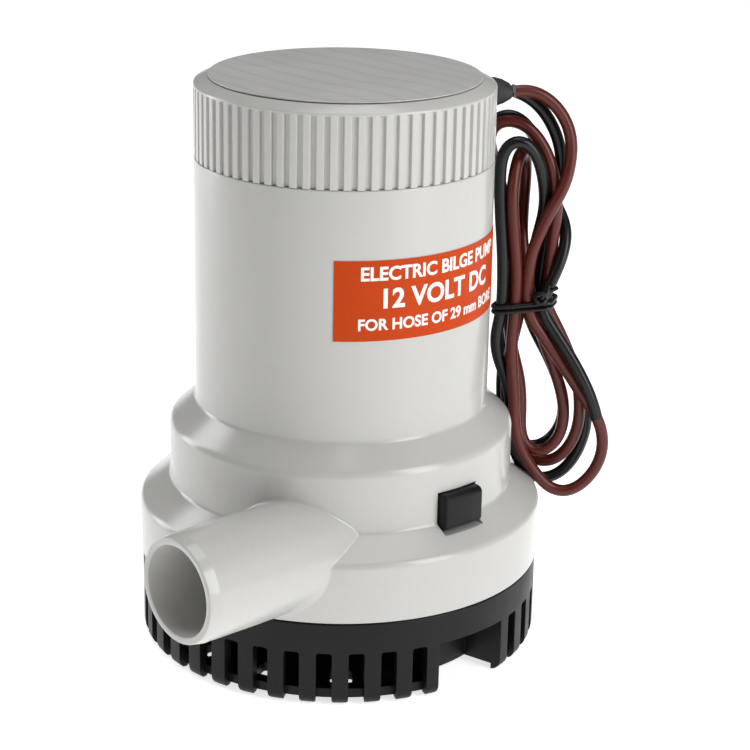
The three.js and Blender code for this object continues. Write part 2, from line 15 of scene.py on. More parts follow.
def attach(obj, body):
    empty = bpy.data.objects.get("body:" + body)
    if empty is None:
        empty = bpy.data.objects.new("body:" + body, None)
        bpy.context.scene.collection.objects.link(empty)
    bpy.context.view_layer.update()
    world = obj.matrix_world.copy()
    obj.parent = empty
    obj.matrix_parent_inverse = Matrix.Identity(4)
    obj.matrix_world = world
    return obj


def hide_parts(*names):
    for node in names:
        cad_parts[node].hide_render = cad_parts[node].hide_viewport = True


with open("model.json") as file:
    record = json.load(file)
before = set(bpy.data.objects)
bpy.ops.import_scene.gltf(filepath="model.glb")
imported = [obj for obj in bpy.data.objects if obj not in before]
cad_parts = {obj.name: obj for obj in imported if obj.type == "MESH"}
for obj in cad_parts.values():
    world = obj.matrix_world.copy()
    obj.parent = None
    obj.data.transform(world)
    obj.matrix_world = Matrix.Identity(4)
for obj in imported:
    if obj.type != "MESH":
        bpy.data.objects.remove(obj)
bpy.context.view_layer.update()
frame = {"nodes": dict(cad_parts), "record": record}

MM = 0.001

# ---------------------------------------------------------------- driving dimensions

TUBE = 40.6                       # outside radius of the motor tube
WALL = 47.77                      # radius of the wall between the two shoulders
SKIRT = 56.2                      # radius of the lower skirt
SKIRT_FOOT = 24.3
TUBE_TOP = 137.2

OUTLET_X, OUTLET_Z = 26.2, 39.9   # the outlet's axis runs along -Y
OUTLET_RADIUS, OUTLET_BORE = 14.6, 12.1
OUTLET_MOUTH = 77.6
OUTLET_FILLET = 1.3

VOLUTE_WALL = 40.1
COVER_HIGH = 27.0
SCREW_CIRCLE = 42.8
SCREW_ANGLES = (62, 128, 232)
MOTOR_BORE, MOTOR_FLOOR = 37.7, 56
TOWER_RADIUS, TOWER_BORE, TOWER_TOP = 11, 7, 60.5      # the collar that locates the motor's nose
SEAL_RADIUS, SHAFT_HOLE = 8.2, 4.2

CAP_RADIUS, CAP_LOW, CAP_TOP = 40.56, 137.24, 158.7
RIBS, RIB_TOP, RIB_DEPTH = 72, 157.0, 0.95
CAP_EDGE = 36.9

DISC_RADIUS, DISC_LOW, DISC_HIGH = 36.7, 159.0, 159.3
LABEL_HALF, LABEL_LOW, LABEL_HIGH = 44.5, 97.3, 118.9

STRAINER_RADIUS, STRAINER_WALL, STRAINER_TOP = 55.7, 3.0, 24.0
SLOT_TOP, SLOT_ANGLE, SLOT_PITCH, ARCH_HALF = 15.5, 4.4, 9, 12
POCKET_DEPTH = 44                 # radius of the wall at the back of each finger pocket
POCKET_LOW, CHEEK = 1.7, 0.9      # lower edge of the pocket's walls, and half the angle of a cheek
PLATE_LOW, PLATE_HIGH = 1.6, 4.2  # the strainer's floor plate
PAD_CIRCLE, PAD_RADIUS, PAD_HOLE = 30, 6.5, 2.6
PAD_ANGLES = (30, 150, 270)
VENT_ANGLES = (40, 65, 90, 115, 140, 220, 245, 270, 295, 320)

BUTTON_LOW, BUTTON_HIGH, BUTTON_HALF, BUTTON_FACE = 44.4, 55.0, 6.6, 50.6

WIRE = 3.4                        # outside diameter of each supply wire
HANK_ANGLE = 48.8                 # azimuth of the hank's plane
GLAND_ANGLE, GLAND_HEIGHT, GLAND_START = 65, 152.5, 40.9
TIE_HEIGHT, TIE_SLOPE = 92.5, 0.11
TIE_WIRE = 0.62                   # radius of the tie's own thin wire

# ---------------------------------------------------------------- camera


def make_camera():
    data = bpy.data.cameras.new("camera")
    data.sensor_width = 36
    data.lens = 108.2
    camera = bpy.data.objects.new("camera", data)
    azimuth, down, roll = math.radians(-47.9), math.radians(18.95), math.radians(1.06)
    forward = Vector((math.sin(azimuth), math.cos(azimuth), -math.tan(down)))
    turn = forward.to_track_quat("-Z", "Y").to_matrix().to_4x4()
    place = Matrix.Translation((0.44688, -0.39121, 0.27834))
    camera.matrix_world = place @ turn @ Matrix.Rotation(roll, 4, "Z")
    data.clip_start, data.clip_end = 0.01, 20
    bpy.context.collection.objects.link(camera)
    bpy.context.scene.camera = camera


make_camera()

# ---------------------------------------------------------------- supply wires

# Places in the wires' own frame, in millimetres: out from the body across the hank's plane,
# back square to it, and up.
BROWN_ROUTE = [
    # out of the gland and over the first arch
    (46.1, 11.5, 152.6), (49.6, 12.2, 153.0), (53.8, 12.5, 151.6), (57.8, 12.5, 148.6),
    (60.8, 12.4, 144.2), (62.4, 12, 138.8), (62.2, 11.2, 133), (61, 10.2, 127.4), (58.5, 9.4, 122.4),
    (56, 9.2, 117.4), (54, 8.6, 112.6), (52.3, 8.4, 107.5), (51.6, 8.4, 100), (51.9, 8.4, 92.5),
    # the large lower loop in front
    (53.2, 8.4, 88.5), (56.3, 8.4, 84), (60.5, 8.4, 78), (64.6, 8.4, 72), (68, 8.4, 66.8),
    (71.4, 8.4, 62), (74, 8.4, 57.2), (75, 8.4, 52), (74.4, 8.4, 47), (72.2, 8.4, 42.4),
    (68.5, 8.4, 38.4), (64.2, 8.4, 36.6), (60.2, 8.6, 37.8), (56.8, 8.8, 41.4), (53.4, 8.6, 46.2),
    (50.6, 8.4, 52), (49.4, 8.4, 58.5), (49.1, 8.4, 65), (48.4, 8.4, 71.5), (47.8, 8.4, 79.5),
    (48, 8.4, 87), (48.4, 8.4, 92.5),
    # up to the narrow turn under the black arch and down behind it
    (48.6, 8.4, 97), (48.3, 8.4, 104), (47.3, 8.2, 113), (46.6, 8.1, 120), (46.3, 8.5, 126),
    (47, 10, 131), (48.2, 13, 134.6), (49.6, 17, 135), (50.6, 20.4, 132), (50.9, 21.6, 126.5),
    (50.4, 20, 118), (50.2, 16.6, 110), (51.4, 13.4, 101.5), (53.3, 12, 92.5),
    # the small lower loop
    (56, 12.2, 84), (59.6, 12.3, 75), (62.4, 12.3, 67), (63.8, 12.3, 60), (63.2, 12.4, 53.6),
    (60.4, 12.8, 48.8), (56.6, 13.2, 47), (53, 13.4, 48.8), (51.6, 14, 53.8), (51.6, 14.4, 60.5),
    (50.8, 14.2, 69), (48, 12.8, 80), (46.4, 12, 92.5),
    # up behind the cap, over the second arch and down
    (46, 12.2, 104), (45, 13, 114), (43, 14.6, 124), (40.8, 16, 132.5), (39.9, 16.4, 138.5),
    (41.4, 15.8, 142.8), (45.2, 15, 144), (49.5, 14.5, 142.8), (53.6, 13.8, 139), (56.6, 13.2, 133.5),
    (58.4, 13, 127), (59.2, 12.7, 120), (58.4, 12.6, 110), (57.8, 12.3, 101), (57.2, 12, 92.5),
    # the middle lower loop, and the cut end tucked in under the tie
    (60.4, 12.2, 86), (64.2, 12.2, 78), (67, 12.2, 70), (68.2, 12.2, 62), (67.8, 12.4, 54.5),
    (65.2, 13.2, 48), (61.2, 14.6, 44), (56.8, 16, 43.4), (52.4, 16.8, 46.6), (49, 17.2, 53),
    (47.6, 17, 61), (47.4, 16.6, 71), (48.4, 16, 79), (49.6, 13.6, 87), (49.9, 12.3, 92), (49.9, 12, 96.5),
]
BLACK_ROUTE = [
    # out of the gland and over the inner arch
    (45.4, 15.1, 152.3), (49, 15.7, 151), (52.8, 15.8, 148.4), (56.2, 15.8, 144.2), (58.8, 15.8, 139),
    (60.2, 15.8, 133), (60, 16, 127), (58.4, 16.6, 120), (57, 16.8, 110), (56, 16.1, 101),
    (55.4, 15.5, 92.5),
    # the second large lower loop
    (57.8, 15.8, 85), (62, 15.9, 77.5), (66.5, 15.9, 70), (69.8, 15.8, 62.5), (70.8, 15.8, 56),
    (69.8, 15.8, 50), (67.4, 15.6, 44.2), (63.4, 15, 39.8), (58.4, 14.2, 38.4), (53.8, 13.2, 41.2),
    (50.2, 12.1, 47.4), (48.4, 11.7, 55), (48.4, 11.6, 62.4), (47.2, 11.4, 69), (44.4, 10, 76),
    (43.2, 8.8, 83),
    (44.6, 8.4, 92.5),
    # up the tube, over the front arch and down behind
    (44.4, 8.4, 106), (43.4, 8.4, 118), (42.8, 8.6, 128), (42.9, 8.9, 133), (44, 8.9, 137.6),
    (47.6, 8.9, 139.8), (51.6, 9.2, 137.4), (54, 10.2, 132), (55.4, 11.8, 126), (55.8, 13.6, 119),
    (54.2, 15.6, 110), (52.9, 16.4, 102), (51.8, 15.5, 92.5),
    # the inner lower loop at the back
    (54, 16.4, 84.5), (58.4, 17.6, 76), (62, 18.6, 68), (64.2, 19, 61), (64, 19.2, 54.5),
    (61.2, 19.2, 49.2), (57, 19.4, 46.4), (52.4, 19.8, 47), (48.8, 20, 51.4), (46.8, 19.8, 58),
    (46.2, 19.6, 66), (46.6, 19.2, 75), (47.6, 17.2, 85), (48.2, 15.5, 92.5),
    # up behind the cap, over the rear arch and out to the cut end
    (48, 16.4, 104), (46.6, 18, 114), (44, 19.4, 124), (41.2, 19.8, 133), (40, 19.6, 139),
    (41.6, 19, 143.6), (45.4, 18.6, 144.9), (49.4, 18.4, 143), (52.8, 18.4, 138.4), (55, 18.8, 132),
    (56.8, 19.4, 125.5), (59.4, 19.2, 119.5), (61.8, 16.6, 115), (62.2, 13, 111), (60.6, 10.2, 105),
    (57.8, 8.8, 98.5), (55.6, 8.3, 92.5), (57.8, 7.8, 88), (61.4, 6.8, 82.8), (65.2, 5.8, 77),
    (68.3, 5, 71.5), (70.8, 4.7, 66), (72.4, 4.7, 60.8),
]


def wire_place(out, back, up):
    """A place in the wires' frame, turned into the row frame in metres."""
    across = math.radians(HANK_ANGLE)
    x = out * math.cos(across) - back * math.sin(across)
    y = out * math.sin(across) + back * math.cos(across)
    return Vector((x, y, up)) * MM


def smooth_route(points, step=1.2, rounds=8):
    """One smooth line through the points, as closely spaced places."""
    ends = [2 * points[0] - points[1], *points, 2 * points[-1] - points[-2]]
    line = []
    for before, start, end, after in zip(ends, ends[1:], ends[2:], ends[3:]):
        pieces = max(3, round((end - start).length / (step * MM)))
        for i in range(pieces):
            t = i / pieces
            lift = 2 * start + (end - before) * t
            lift += (2 * before - 5 * start + 4 * end - after) * t * t
            lift += (3 * start - before - 3 * end + after) * t ** 3
            line.append(lift / 2)
    line.append(points[-1])
    for _ in range(rounds):
        middle = [(a + 2 * b + c) / 4 for a, b, c in zip(line, line[1:], line[2:])]
        line = [line[0], *middle, line[-1]]
    return line


def wire_curve(name, line, diameter):
    data = bpy.data.curves.new(name, "CURVE")
    data.dimensions = "3D"
    data.bevel_depth = 1              # in units of each point's radius
    data.bevel_resolution = 6
    data.use_fill_caps = True
    spline = data.splines.new("POLY")
    spline.points.add(len(line) - 1)
    for point, place in zip(spline.points, line):
        point.co = (*place, 1)
        point.radius = diameter / 2 * MM
    spline.use_smooth = True
    curve = bpy.data.objects.new(name, data)
    bpy.context.collection.objects.link(curve)
    return curve


def supply_wire(name, route, nodes):
    line = smooth_route([wire_place(*place) for place in route])
    curve = wire_curve(name, line, WIRE)
    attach(curve, "pump_body")
    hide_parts(*nodes)
    return curve


brown_wire = supply_wire("brown_wire", BROWN_ROUTE, ["wire_brown_lead", "wire_hank"])
black_wire = supply_wire("black_wire", BLACK_ROUTE, ["wire_black_lead", "wire_hank"])

# ---------------------------------------------------------------- meshes


def piece(name, data):
    made = bpy.data.objects.new(name, data)
    bpy.context.collection.objects.link(made)
    return made


def mesh_piece(name, places, faces):
    """A mesh from places in millimetres."""
    data = bpy.data.meshes.new(name)
    data.from_pydata([tuple(c * MM for c in place) for place in places], [], faces)
    data.validate()
    tidy_normals(data)
    return piece(name, data)


def tidy_normals(data):
    shape = bmesh.new()
    shape.from_mesh(data)
    bmesh.ops.remove_doubles(shape, verts=shape.verts, dist=0.0005 * MM)
    bmesh.ops.recalc_face_normals(shape, faces=shape.faces)
    shape.to_mesh(data)
    shape.free()


def filleted(corners, parts=6):
    """An outline with its corners rounded: each corner is (radius, height) or adds a fillet."""
    outline = []
    count = len(corners)
    for index, corner in enumerate(corners):
        here = Vector(corner[:2])
        if len(corner) == 2:
            outline.append(here)
            continue
        before = (Vector(corners[index - 1][:2]) - here).normalized()
        after = (Vector(corners[(index + 1) % count][:2]) - here).normalized()
        half = before.angle(after) / 2
        reach = corner[2] / math.tan(half)
        centre = here + (before + after).normalized() * (corner[2] / math.sin(half))
        start, end = here + before * reach - centre, here + after * reach - centre
        sweep = start.angle_signed(end)
        for i in range(parts + 1):
            turn = Matrix.Rotation(-sweep * i / parts, 2)
            outline.append(centre + turn @ start)
    return [(place.x, place.y) for place in outline]


def lathe(name, outline, segments=160):
    """A closed outline of (radius, height), turned about Z."""
    places, rings = [], []
    for radius, height in outline:
        if radius < 1e-6:
            rings.append([len(places)] * segments)
            places.append((0, 0, height))
            continue
        rings.append(list(range(len(places), len(places) + segments)))
        for i in range(segments):
            turn = 2 * math.pi * i / segments
            places.append((radius * math.cos(turn), radius * math.sin(turn), height))
    faces = []
    for low, high in zip(rings, rings[1:] + rings[:1]):
        for i in range(segments):
            j = (i + 1) % segments
            corners = list(dict.fromkeys((low[i], low[j], high[j], high[i])))
            if len(corners) > 2:
                faces.append(corners)
    return mesh_piece(name, places, faces)


def prism(name, outline, low, high):
    """A closed outline of (x, y), raised from low to high."""
    count = len(outline)
    places = [(x, y, low) for x, y in outline] + [(x, y, high) for x, y in outline]
    sides = [(i, (i + 1) % count, count + (i + 1) % count, count + i) for i in range(count)]
    ends = [tuple(range(count)), tuple(range(count, 2 * count))]
    return mesh_piece(name, places, sides + ends)


def sector(name, inner, outer, low, high, angle, half, parts=16):
    steps = [math.radians(angle - half + 2 * half * i / parts) for i in range(parts + 1)]
    outline = [(outer * math.cos(a), outer * math.sin(a)) for a in steps]
    outline += [(inner * math.cos(a), inner * math.sin(a)) for a in reversed(steps)]
    return prism(name, outline, low, high)


def block(name, sizes, centre, angle=0):
    """A box with its centre at a place that is then turned about Z by the angle."""
    x, y, z = (size / 2 for size in sizes)
    made = prism(name, [(centre[0] - x, centre[1] - y), (centre[0] + x, centre[1] - y),
                        (centre[0] + x, centre[1] + y), (centre[0] - x, centre[1] + y)],
                 centre[2] - z, centre[2] + z)
    made.data.transform(Matrix.Rotation(math.radians(angle), 4, "Z"))
    return made


def post(name, radius, low, high, x, y, segments=40):
    outline = [(x + radius * math.cos(2 * math.pi * i / segments),
                y + radius * math.sin(2 * math.pi * i / segments)) for i in range(segments)]
    return prism(name, outline, low, high)


def applied(made):
    """The piece with its modifiers made real."""
    graph = bpy.context.evaluated_depsgraph_get()
    data = bpy.data.meshes.new_from_object(made.evaluated_get(graph))
    made.modifiers.clear()
    made.data = data
    return made


def combine(made, tool, operation="DIFFERENCE"):
    modifier = made.modifiers.new("cut", "BOOLEAN")
    modifier.object = tool
    modifier.operation = operation
    modifier.solver = "MANIFOLD"
    applied(made)
    if len(made.data.vertices) == 0:
        raise ValueError(f"{made.name}: nothing is left after {tool.name}")
    bpy.data.objects.remove(tool)
    return made


def cut(made, *tools):
    for tool in tools:
        combine(made, tool)
    return made


def add(made, *tools):
    for tool in tools:
        combine(made, tool, "UNION")
    return made


def soften(made, width, parts=2, angle=35):
    """Rounds the piece's sharp edges."""
    modifier = made.modifiers.new("soften", "BEVEL")
    modifier.width = width * MM
    modifier.segments = parts
    modifier.limit_method = "ANGLE"
    modifier.angle_limit = math.radians(angle)
    modifier.harden_normals = False
    return applied(made)


def smooth(made, angle=32):
    made.data.shade_smooth()
    made.data.set_sharp_from_angle(angle=math.radians(angle))
    return made


def finished(made, body, nodes, angle=32):
    smooth(made, angle)
    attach(made, body)
    if nodes:
        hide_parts(*nodes)
    return made


def joined(name, parts):
    """Several pieces as one mesh."""
    shape = bmesh.new()
    for part in parts:
        shape.from_mesh(part.data)
        bpy.data.objects.remove(part)
    data = bpy.data.meshes.new(name)
    shape.to_mesh(data)
    shape.free()
    return piece(name, data)


def tube_mesh(name, line, radius, sides=10, closed=False):
    """A mesh tube along a line of places in millimetres."""
    count = len(line)
    places, faces = [], []
    normal = None
    for i, here in enumerate(line):
        last = line[i - 1] if closed or i else here
        following = line[(i + 1) % count] if closed or i < count - 1 else here
        along = (following - last).normalized()
        if normal is None:
            normal = along.orthogonal().normalized()
        normal = (normal - along * normal.dot(along)).normalized()
        side = along.cross(normal)
        for k in range(sides):
            turn = 2 * math.pi * k / sides
            places.append(here + radius * (normal * math.cos(turn) + side * math.sin(turn)))
    spans = count if closed else count - 1
    for i in range(spans):
        for k in range(sides):
            j, m = (i + 1) % count, (k + 1) % sides
            faces.append((i * sides + k, i * sides + m, j * sides + m, j * sides + k))
    if not closed:
        faces.append(tuple(range(sides)))
        faces.append(tuple(range((count - 1) * sides, count * sides)))
    return mesh_piece(name, places, faces)


# ---------------------------------------------------------------- housing

HOUSING_OUTLINE = [
    (0, SKIRT_FOOT), (55.9, SKIRT_FOOT, 0.35), (SKIRT, 40.63, 2.4), (WALL, 46.5, 1.4), (WALL, 62.9, 3.3),
    (TUBE, 69.2, 1.6), (TUBE, TUBE_TOP, 0.3), (0, TUBE_TOP),
]
GROOVE_OUTLINE = [
    (VOLUTE_WALL, 23.3), (53.4, 23.3), (53.4, 37.4, 2), (45, 43.5, 1), (45, 58.4), (VOLUTE_WALL, 58.4),
]


def along_outlet(made):
    """Turns a piece about Z so that its +Z lies along the outlet."""
    made.data.transform(Matrix(((1, 0, 0, OUTLET_X * MM), (0, 0, -1, 0), (0, 1, 0, OUTLET_Z * MM),
                                (0, 0, 0, 1))))
    return made


def outlet_tube():
    rim = OUTLET_MOUTH
    outline = filleted([(0, 20), (OUTLET_RADIUS, 20), (OUTLET_RADIUS, rim - 3.1, 0.8),
                        (14.0, rim, 0.35), (0, rim)])
    return along_outlet(lathe("outlet", outline, 128))


def outlet_bore():
    rim = OUTLET_MOUTH
    outline = [(0, 5), (OUTLET_BORE, 5), (OUTLET_BORE, rim - 0.5), (OUTLET_BORE + 0.15, rim - 0.15),
               (OUTLET_BORE + 0.5, rim), (OUTLET_BORE + 0.5, 90), (0, 90)]
    return along_outlet(lathe("bore", outline, 128))


def nearest_on_outline(outline, place):
    best = None
    for start, end in zip(outline, outline[1:]):
        a, b = Vector(start), Vector(end)
        share = max(0, min(1, (place - a).dot(b - a) / (b - a).length_squared))
        point = a + (b - a) * share
        if best is None or (place - point).length < (place - best).length:
            best = point
    return best


def outline_radius(outline, height):
    """The body's radius at a height."""
    for (low_radius, low), (high_radius, high) in zip(outline, outline[1:]):
        if low <= height <= high and high > low:
            return low_radius + (high_radius - low_radius) * (height - low) / (high - low)
    return 0


def outlet_fillet():
    """The rounded bead where the outlet meets the body, as a ball rolled round the joint."""
    outline = filleted(HOUSING_OUTLINE)
    ball = OUTLET_FILLET
    steps, arc = 120, 5
    places = []
    for i in range(steps):
        turn = 2 * math.pi * i / steps
        side = Vector((math.cos(turn), 0, math.sin(turn)))
        start = Vector((OUTLET_X, 0, OUTLET_Z)) + side * (OUTLET_RADIUS + ball)
        far, near = 77.0, 5.0
        for _ in range(40):           # halves the span until the ball just touches the body
            middle = (far + near) / 2
            radius = math.hypot(start.x, middle)
            place = Vector((radius, start.z))
            gap = (place - nearest_on_outline(outline, place)).length
            if radius < outline_radius(outline, start.z) or gap < ball:
                near = middle
            else:
                far = middle
        centre = Vector((start.x, -far, start.z))
        radius = math.hypot(centre.x, centre.y)
        touch = nearest_on_outline(outline, Vector((radius, centre.z)))
        on_body = Vector((centre.x * touch.x / radius, centre.y * touch.x / radius, touch.y)) - centre
        on_outlet = -side * ball
        first, last = on_body.normalized(), on_outlet.normalized()
        for k in range(arc + 1):
            places.append(centre + first.slerp(last, k / arc) * ball)
        places.append(centre + (first + last).normalized() * ball * 2.1)
    row = arc + 2
    faces = []
    for i in range(steps):
        for k in range(row):
            j, m = (i + 1) % steps, (k + 1) % row
            faces.append((i * row + k, i * row + m, j * row + m, j * row + k))
    return mesh_piece("fillet", places, faces)


def volute_space():
    """The spiral chamber round the impeller, opening into the outlet."""
    end_radius = OUTLET_X + OUTLET_BORE + 0.4
    steps, start_radius, start_angle = 60, 29.5, -58
    outline = []
    for i in range(steps + 1):
        share = i / steps
        angle = math.radians(start_angle - (360 + start_angle) * share)
        radius = start_radius + (end_radius - start_radius) * share
        outline.append((radius * math.cos(angle), radius * math.sin(angle)))
    outline += [(end_radius, -22), (OUTLET_X - OUTLET_BORE + 3, -25)]
    return prism("volute", outline, 26.4, 52.6)


def button_window(angle):
    height = BUTTON_HIGH - BUTTON_LOW + 0.6
    middle = (BUTTON_HIGH + BUTTON_LOW) / 2
    window = block("window", (12, 2 * BUTTON_HALF + 0.6, height), (47.5, 0, middle), angle)
    recess = sector("recess", 43, 45.9, BUTTON_LOW - 1.6, BUTTON_HIGH + 1.6, angle, 12)
    return [window, recess]


def parting_line():
    """The mould's faint raised line along the outlet's lower side."""
    turn = math.radians(-52)
    line = []
    for length in range(57, 75, 2):
        line.append(Vector((OUTLET_X + OUTLET_RADIUS * math.cos(turn), -length,
                            OUTLET_Z + OUTLET_RADIUS * math.sin(turn))))
    return tube_mesh("parting", line, 0.11, 6)


def cover_screw_places():
    turns = [math.radians(angle) for angle in SCREW_ANGLES]
    return [(SCREW_CIRCLE * math.cos(turn), SCREW_CIRCLE * math.sin(turn)) for turn in turns]


def housing():
    body = lathe("housing_shell", filleted(HOUSING_OUTLINE), 192)
    cut(body, lathe("groove", filleted(GROOVE_OUTLINE, 3), 128))
    for x, y in cover_screw_places():
        add(body, post("boss", 3.6, COVER_HIGH + 0.3, 59, x, y))
    add(body, outlet_tube(), outlet_fillet(), parting_line())
    cut(body, post("cover_seat", VOLUTE_WALL + 1, 23.3, COVER_HIGH + 0.3, 0, 0, 96), volute_space(),
        post("motor_space", MOTOR_BORE, MOTOR_FLOOR, TUBE_TOP + 1, 0, 0, 160), outlet_bore())
    tower = post("tower", TOWER_RADIUS, MOTOR_FLOOR - 1, TOWER_TOP, 0, 0)
    cut(tower, post("tower_bore", TOWER_BORE, MOTOR_FLOOR - 2, TOWER_TOP + 0.5, 0, 0))
    add(body, tower)
    cut(body, post("seal_seat", SEAL_RADIUS, 51.6, 59, 0, 0), post("shaft_hole", SHAFT_HOLE, 50, 62, 0, 0))
    for x, y in cover_screw_places():
        cut(body, post("screw_hole", 1.8, COVER_HIGH - 1, 42, x, y, 24))
    cut(body, *button_window(0), *button_window(180))
    return finished(body, "pump_body", ["housing"], 28)


# ---------------------------------------------------------------- ribbed cap and its disc

GROOVE_SECTION = [(-0.92, 0), (-0.82, 0.06), (-0.72, 0.4), (-0.6, 0.86), (0, 0.95), (0.6, 0.86),
                  (0.72, 0.4), (0.82, 0.06), (0.92, 0), (1.77, 0)]


def cap_columns():
    """Angles round the cap, each with the share of the full groove depth there."""
    columns = []
    pitch = 2 * math.pi / RIBS
    for rib in range(RIBS):
        for across, depth in GROOVE_SECTION:
            columns.append((pitch * (rib + 0.5) + across / CAP_RADIUS, depth / RIB_DEPTH))
    return columns


def cap():
    outline = filleted([(35.7, 131), (35.7, CAP_LOW), (CAP_RADIUS, CAP_LOW, 0.3),
                        (CAP_RADIUS, RIB_TOP, 0.5), (CAP_EDGE, CAP_TOP, 0.5), (0, CAP_TOP),
                        (0, 155.6), (33.4, 155.6), (33.4, 131)], 3)
    full = []
    for radius, height in outline:
        low_edge = radius > CAP_RADIUS - 0.5 and height < CAP_LOW + 1
        full.append((radius, height, 1 if low_edge else 0))
        if low_edge and radius > CAP_RADIUS - 0.01:
            high = RIB_TOP - 0.55
            full += [(radius, high - 0.9, 1), (radius, high - 0.4, 0.9), (radius, high - 0.12, 0.35),
                     (radius, high, 0)]
    columns = cap_columns()
    places, rings = [], []
    for radius, height, share in full:
        if radius < 1e-6:
            rings.append([len(places)] * len(columns))
            places.append((0, 0, height))
            continue
        rings.append(list(range(len(places), len(places) + len(columns))))
        for angle, depth in columns:
            reach = radius - RIB_DEPTH * depth * share
            places.append((reach * math.cos(angle), reach * math.sin(angle), height))
    faces = []
    for low, high in zip(rings, rings[1:] + rings[:1]):
        for i in range(len(columns)):
            j = (i + 1) % len(columns)
            corners = list(dict.fromkeys((low[i], low[j], high[j], high[i])))
            if len(corners) > 2:
                faces.append(corners)
    made = mesh_piece("ribbed_cap", places, faces)
    seat = post("gland_seat", 3.1, GLAND_START - 7.4, GLAND_START + 2, 0, 0)
    toward_gland = Matrix(((0, 0, 1, 0), (0, 1, 0, 0), (-1, 0, 0, GLAND_HEIGHT * MM), (0, 0, 0, 1)))
    seat.data.transform(Matrix.Rotation(math.radians(GLAND_ANGLE), 4, "Z") @ toward_gland)
    cut(made, seat)
    return finished(made, "pump_body", ["top_cap"], 30)


def disc():
    outline = filleted([(0, DISC_LOW), (DISC_RADIUS, DISC_LOW), (DISC_RADIUS, DISC_HIGH, 0.12),
                        (0, DISC_HIGH)])
    return finished(lathe("top_disc", outline, 160), "pump_body", ["cap_disc"])


# ---------------------------------------------------------------- printed words

LABEL_FACE = TUBE + 0.22


def words(name, text, height, bend, thick=0.06):
    """Generic words as a thin closed mesh, bent by a function of (x, y, depth) in millimetres."""
    data = bpy.data.curves.new(name, "FONT")
    data.body = text
    data.size = height
    data.align_x = "CENTER"
    data.align_y = "CENTER"
    data.extrude = thick / 2
    data.offset = 0.03 * height
    data.resolution_u = 4
    holder = piece(name, data)
    graph = bpy.context.evaluated_depsgraph_get()
    mesh = bpy.data.meshes.new_from_object(holder.evaluated_get(graph))
    bpy.data.objects.remove(holder)
    for vertex in mesh.vertices:
        vertex.co = Vector(bend(*vertex.co)) * MM
    tidy_normals(mesh)
    return piece(name, mesh)


def round_label(height):
    def bend(x, y, depth):
        angle = x / LABEL_FACE
        reach = LABEL_FACE + 0.02 + depth
        return reach * math.cos(angle), reach * math.sin(angle), height + y
    return bend


def label():
    film = sector("rating_film", TUBE + 0.04, LABEL_FACE - 0.04, LABEL_LOW, LABEL_HIGH, 0, LABEL_HALF, 48)
    finished(film, "pump_body", ["rating_label"])
    lines = [("ELECTRIC BILGE PUMP", 5.0, 115.2), ("12 VOLT DC", 7.2, 108.4),
             ("FOR HOSE OF 29 mm BORE", 4.2, 101.6)]
    printed = [words("line", text, size, round_label(up)) for text, size, up in lines]
    return film, finished(joined("rating_words", printed), "pump_body", [], 60)


# ---------------------------------------------------------------- strainer


def slot_tool(half, angle):
    """One slot's outline, flared at its foot so that the bars get rounded lower corners."""
    foot, top = 1.5, SLOT_TOP
    right = [(half + foot, -1), (half + foot, 0)]
    for step in range(1, 6):
        turn = math.radians(18 * step)
        right.append((half + foot * (1 - math.sin(turn)), foot * (1 - math.cos(turn))))
    right += [(half, top - 0.7), (half - 0.2, top - 0.2), (half - 0.7, top)]
    outline = right + [(-across, up) for across, up in reversed(right)]
    tool = prism("slot", outline, 52.2, 57.7)
    place = Matrix(((0, 0, 1, 0), (1, 0, 0, 0), (0, 1, 0, 0), (0, 0, 0, 1)))
    tool.data.transform(Matrix.Rotation(math.radians(angle), 4, "Z") @ place)
    return tool


def strainer_slots():
    tools = []
    width = 2 * STRAINER_RADIUS * math.sin(math.radians(SLOT_ANGLE / 2))
    for angle in range(0, 360, SLOT_PITCH):
        from_arch = min(angle % 180, 180 - angle % 180)
        if from_arch < ARCH_HALF:
            continue
        tools.append(slot_tool(width / 2, angle))
    arches = [sector("arch", 51.7, 57.7, -1, SLOT_TOP, side, ARCH_HALF) for side in (0, 180)]
    return [joined("slots", tools), *arches]


def strainer():
    radius, wall = STRAINER_RADIUS, STRAINER_WALL
    outline = filleted([(radius - wall, 0), (radius, 0, 3.4), (radius, STRAINER_TOP, 0.4),
                        (radius - wall, STRAINER_TOP, 0.3)])
    shell = lathe("strainer_shell", outline, 200)
    cut(shell, *strainer_slots())
    plate = post("plate", radius - wall + 0.5, PLATE_LOW, PLATE_HIGH, 0, 0, 160)
    add(plate, post("foot", 9, 0, PLATE_HIGH, 0, 0))
    turns = [math.radians(angle) for angle in PAD_ANGLES]
    pads = [(PAD_CIRCLE * math.cos(turn), PAD_CIRCLE * math.sin(turn)) for turn in turns]
    for x, y in pads:
        add(plate, post("pad", PAD_RADIUS, 0, PLATE_HIGH, x, y))
    vents = [block("vent", (7, 6, 8), (46, 0, 2.9), angle) for angle in VENT_ANGLES]
    cut(plate, soften(joined("vents", vents), 0.6))
    for side in (0, 180):
        cut(plate, sector("pocket", POCKET_DEPTH - 0.5, radius, 0.6, 5.2, side, ARCH_HALF))
    add(shell, plate)
    for side in (0, 180):
        add(shell, sector("arm", 40.5, 42, POCKET_LOW, 55, side, 9),
            sector("back", 41.5, POCKET_DEPTH, POCKET_LOW, 20, side, ARCH_HALF))
        for edge in (ARCH_HALF + CHEEK, -ARCH_HALF - CHEEK):
            add(shell, sector("cheek", 42, radius - wall + 0.5, POCKET_LOW, SLOT_TOP, side + edge, CHEEK))
    for x, y in pads:
        cut(shell, post("screw_hole", PAD_HOLE, -1, 5.2, x, y))
    return finished(shell, "strainer", ["strainer_base"], 30)


# ---------------------------------------------------------------- release buttons


